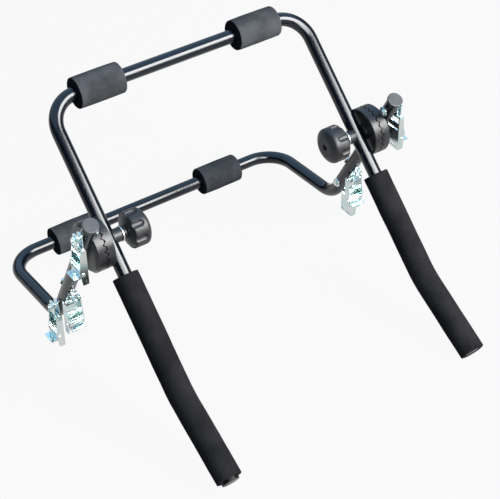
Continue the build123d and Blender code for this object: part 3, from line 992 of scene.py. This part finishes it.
@dataclass(frozen=True)
class SoftBox:
    """Studio lamp that looks at the middle of the object.

    Its azimuth is in degrees from the front towards the right, its sizes are in metres.
    """

    name: str
    azimuth: float
    elevation: float
    distance: float
    width: float
    height: float
    radiance: float
    colour: Colour = WHITE
    seen: Seen = Seen.ALL

    def build(self, target: Vector) -> None:
        """Adds the lamp.

        Args:
            target: Point that the lamp faces.
        """
        around = math.radians(self.azimuth)
        up = math.radians(self.elevation)
        level = math.cos(up)
        away = Vector((math.sin(around) * level, -math.cos(around) * level, math.sin(up)))
        lamp = bpy.data.lights.new(self.name, "AREA")
        lamp.shape = "RECTANGLE"
        lamp.size = self.width
        lamp.size_y = self.height
        lamp.energy = self.radiance * math.pi * self.width * self.height
        lamp.color = self.colour
        holder = bpy.data.objects.new(self.name, lamp)
        holder.location = target + away * self.distance
        holder.rotation_euler = (-away).to_track_quat("-Z", "Y").to_euler()
        holder.visible_camera = False
        holder.visible_diffuse = self.seen is not Seen.GLOSS
        holder.visible_glossy = self.seen is not Seen.MATT
        bpy.context.scene.collection.objects.link(holder)
        LOG.info("lamp %s: %.0f W", self.name, lamp.energy)


@dataclass
class Studio:
    """Pale floor, soft lamps, even surround and the camera of the photograph."""

    floor_size: float = 400.0
    floor_white: Colour = (0.30, 0.30, 0.30)
    floor_roughness: float = 0.9
    floor_specular: float = 0.1
    floor_glow: float = 0.93
    surround: Colour = (0.06, 0.07, 0.09)
    target: Vector = Vector((0.0, 0.0, 0.15))
    camera_place: Vector = Vector((-1.0814, -1.6455, 1.8001))
    camera_forward: Vector = Vector((0.426, 0.6356, -0.6454))
    camera_right: Vector = Vector((0.827, -0.5621, -0.0083))
    lens: float = 103.0
    sensor: float = 36.0
    far_clip: float = 500.0
    lamps: tuple[SoftBox, ...] = (
        SoftBox(
            name="key_lamp",
            azimuth=30.0,
            elevation=34.0,
            distance=3.0,
            width=1.9,
            height=1.9,
            radiance=10.0,
            colour=(1.0, 0.99, 0.97),
        ),
        SoftBox(
            name="top_lamp",
            azimuth=180.0,
            elevation=80.0,
            distance=3.0,
            width=5.0,
            height=5.0,
            radiance=0.7,
            colour=(0.55, 0.76, 1.0),
            seen=Seen.MATT,
        ),
        SoftBox(
            name="white_card",
            azimuth=12.0,
            elevation=43.0,
            distance=3.2,
            width=5.2,
            height=1.8,
            radiance=20.0,
            seen=Seen.GLOSS,
        ),
        SoftBox(
            name="sky_card",
            azimuth=180.0,
            elevation=64.0,
            distance=3.4,
            width=9.0,
            height=7.5,
            radiance=1.9,
            colour=(0.38, 0.61, 0.86),
            seen=Seen.GLOSS,
        ),
    )

    def build(self) -> None:
        """Builds the floor, lamps, surround and camera."""
        self.floor()
        for lamp in self.lamps:
            lamp.build(self.target)
        self.surroundings()
        self.camera()
        bpy.context.scene.view_settings.view_transform = "Standard"

    def floor(self) -> None:
        """Adds the floor: seen as white, yet keeping the object's shadow."""
        Bench.clear()
        bpy.ops.mesh.primitive_plane_add(size=self.floor_size)
        plane = bpy.context.object
        plane.name = "studio_floor"
        graph = Graph("studio_floor")
        graph.shade(
            Base_Color=self.floor_white,
            Roughness=self.floor_roughness,
            Specular_IOR_Level=self.floor_specular,
        )
        lit = Value(graph, graph.shader.outputs["BSDF"])
        glow = graph.node("ShaderNodeEmission", {}, {"Color": WHITE, "Strength": 1.0})
        reflected = graph.ray("Is Glossy Ray") + graph.ray("Is Transmission Ray")
        share = (graph.ray("Is Camera Ray") + reflected) * self.floor_glow
        mixed = graph.node("ShaderNodeMixShader", {}, {0: share, 1: lit, 2: glow})
        graph.feed(graph.tree.nodes["Material Output"].inputs["Surface"], mixed)
        plane.data.materials.append(graph.material)

    def surroundings(self) -> None:
        """Sets the even surround light."""
        world = bpy.data.worlds.new("studio")
        world.use_nodes = True
        background = world.node_tree.nodes["Background"]
        background.inputs["Color"].default_value = (*self.surround, 1.0)
        background.inputs["Strength"].default_value = 1.0
        bpy.context.scene.world = world

    def camera(self) -> None:
        """Adds the camera at the photograph's place."""
        data = bpy.data.cameras.new("photo_camera")
        data.lens = self.lens
        data.sensor_width = self.sensor
        data.sensor_fit = "HORIZONTAL"
        data.clip_end = self.far_clip
        holder = bpy.data.objects.new("photo_camera", data)
        back = -self.camera_forward.normalized()
        up = back.cross(self.camera_right).normalized()
        right = up.cross(back)
        turn = Matrix((right, up, back)).transposed()
        holder.matrix_world = Matrix.Translation(self.camera_place) @ turn.to_4x4()
        bpy.context.scene.collection.objects.link(holder)
        bpy.context.scene.camera = holder


def main() -> None:
    """Builds every sub-assembly in order."""
    logging.basicConfig(level=logging.INFO, format="%(message)s")
    Studio().build()
    for assembly in (FrameTubes(), FoamPads(), ArmSleeves(), EndCaps(), Hubs(), Knobs(), Buckles()):
        assembly.build()


if __name__ == "__main__":
    main()
